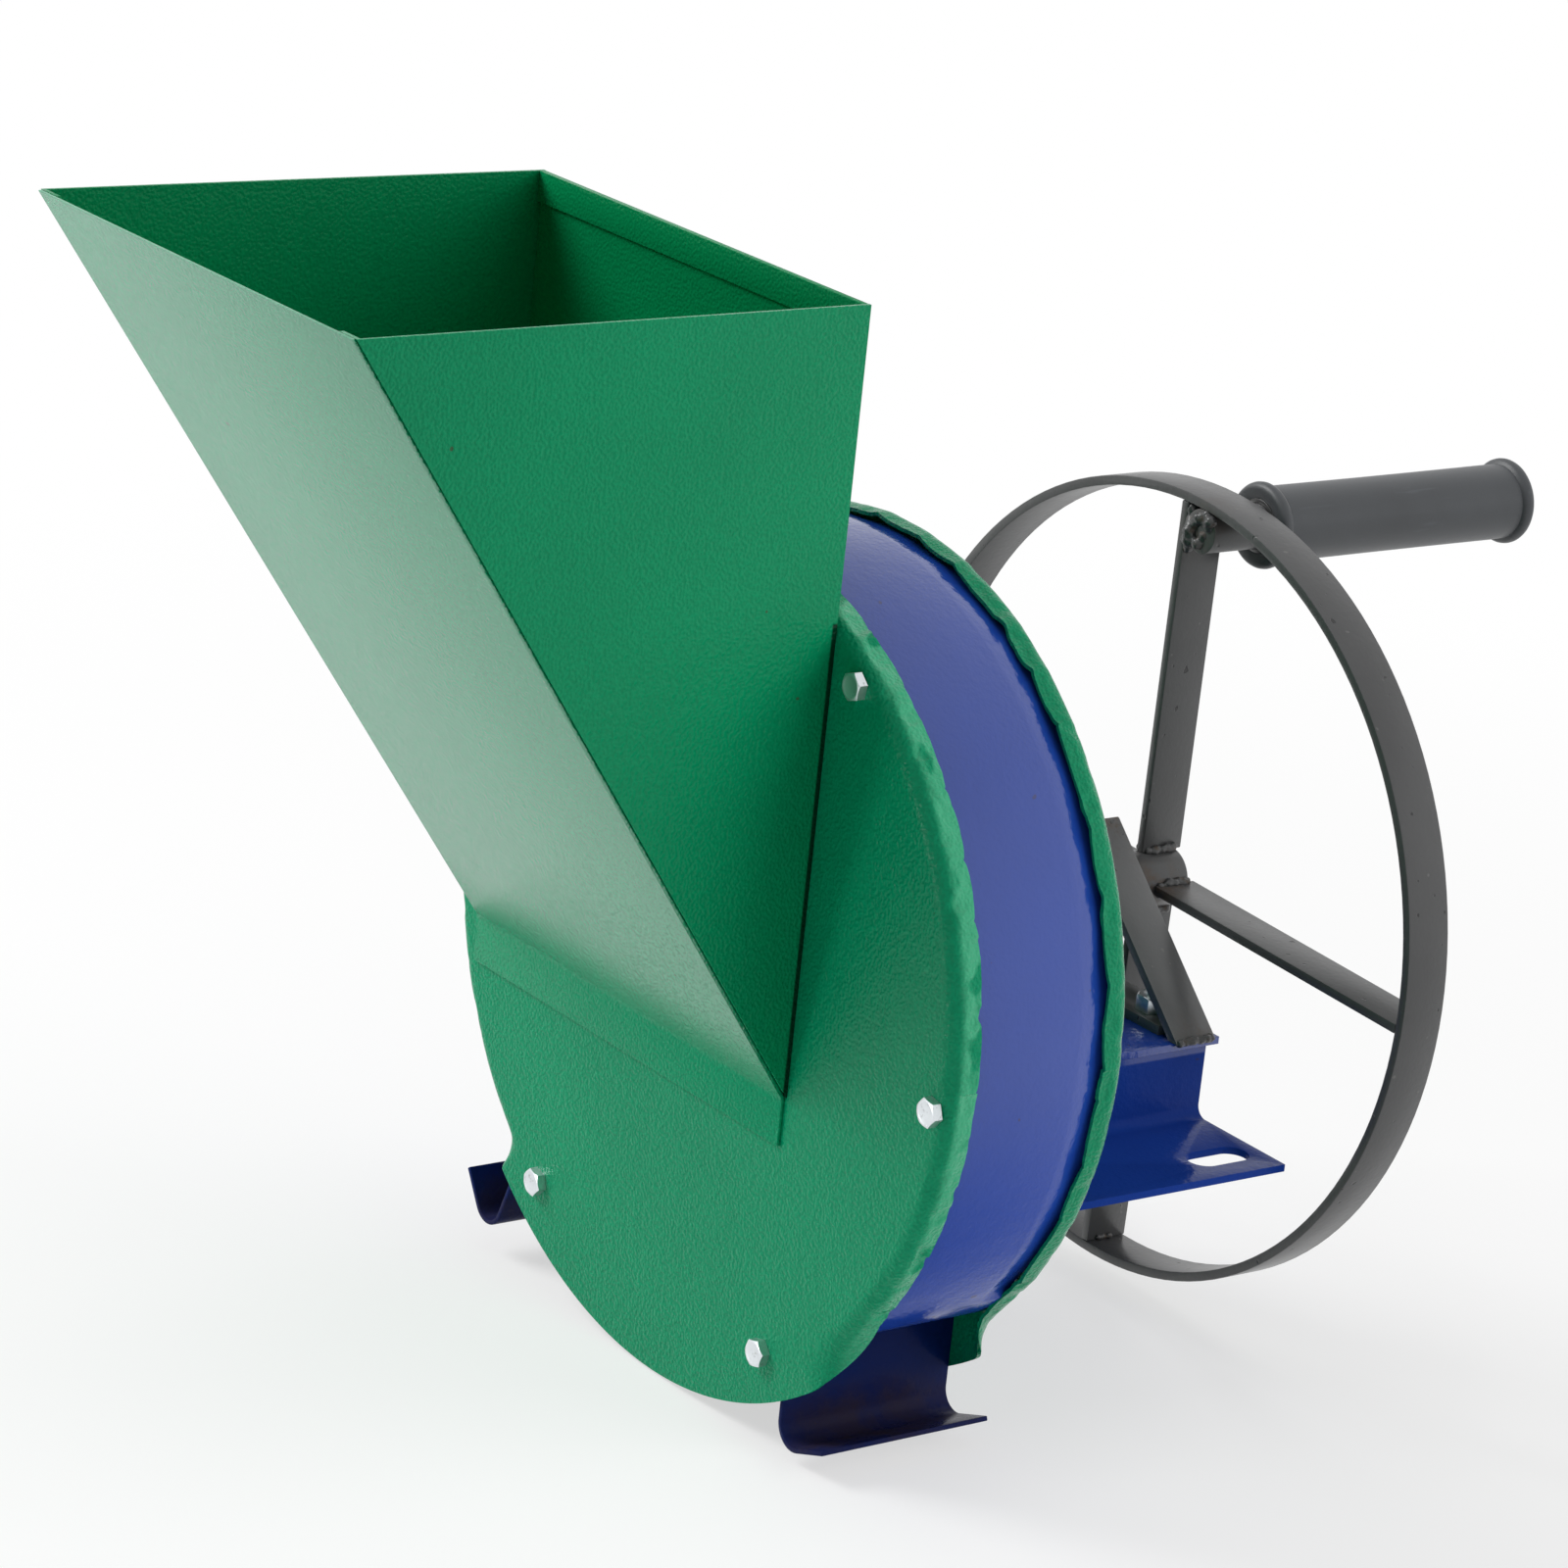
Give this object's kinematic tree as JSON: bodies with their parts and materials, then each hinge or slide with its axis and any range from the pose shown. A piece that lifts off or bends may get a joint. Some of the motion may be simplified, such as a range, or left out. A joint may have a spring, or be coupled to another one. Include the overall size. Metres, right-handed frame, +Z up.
{
  "type": "apple scratter",
  "caption": "Hand-cranked fruit mill: slanted sheet-metal hopper on a round drum with a grating disc, slotted bench bracket and a spoked crank wheel with a turning grip.",
  "frame": {"origin": "on the bench plane under the bracket's flanges, midway between the centres of the two bench slots", "axes": "+X across the drum to the right seen from the hopper, +Y along the shaft from the hopper back to the crank wheel, +Z up"},
  "size_m": [0.33, 0.5999, 0.4439],
  "materials": {
    "green_paint": "hammered gloss powder coat",
    "blue_paint": "gloss powder coat",
    "black_paint": "satin paint over weld marks",
    "zinc_steel": "bright zinc plate",
    "bare_steel": "turned steel",
    "disc_steel": "rolled stainless sheet",
    "grip_rubber": "matt with scuffs"
  },
  "bodies": {
    "frame": {"front_cover": "green_paint", "rear_cover": "green_paint", "drum_band": "blue_paint", "right_foot": "blue_paint", "left_foot": "blue_paint", "hopper_slope": "green_paint", "hopper_right_side": "green_paint", "hopper_left_side": "green_paint", "hopper_back": "green_paint", "cover_bolts": "zinc_steel", "cover_lugs": "blue_paint", "bracket_top_plate": "blue_paint", "bench_angle_right": "blue_paint", "bench_angle_left": "blue_paint", "strut_right": "black_paint", "strut_left": "black_paint", "stand_base_bar": "black_paint", "stand_bolts": "zinc_steel", "stand_nuts": "zinc_steel", "bearing_housing": "black_paint", "bearing_outer_rings": "bare_steel", "bearing_balls": "bare_steel"},
    "rotor": {"bearing_inner_rings": "bare_steel", "main_shaft": "bare_steel", "front_spacer": "bare_steel", "rear_spacer": "bare_steel", "flywheel_hub": "black_paint", "flywheel_rim": "black_paint", "spoke_right": "black_paint", "spoke_top": "black_paint", "spoke_left": "black_paint", "spoke_bottom": "black_paint", "crank_pin": "black_paint", "pin_end_washer": "zinc_steel", "pin_end_screw": "zinc_steel", "disc_hub": "bare_steel", "grater_disc": "disc_steel", "disc_screws": "zinc_steel", "disc_washer": "zinc_steel", "shaft_nut": "zinc_steel"},
    "grip": {"grip_tube": "bare_steel", "rubber_grip": "grip_rubber"}
  },
  "joints": [
    {"name": "crank_spin", "type": "hinge", "parent": "frame", "child": "rotor", "pos_m": [0, 0.04225, 0.0755], "axis": [0, 1, 0], "continuous": true},
    {"name": "grip_spin", "type": "hinge", "parent": "rotor", "child": "grip", "pos_m": [0.01236, 0.12, 0.22534], "axis": [0, 1, 0], "continuous": true}
  ]
}
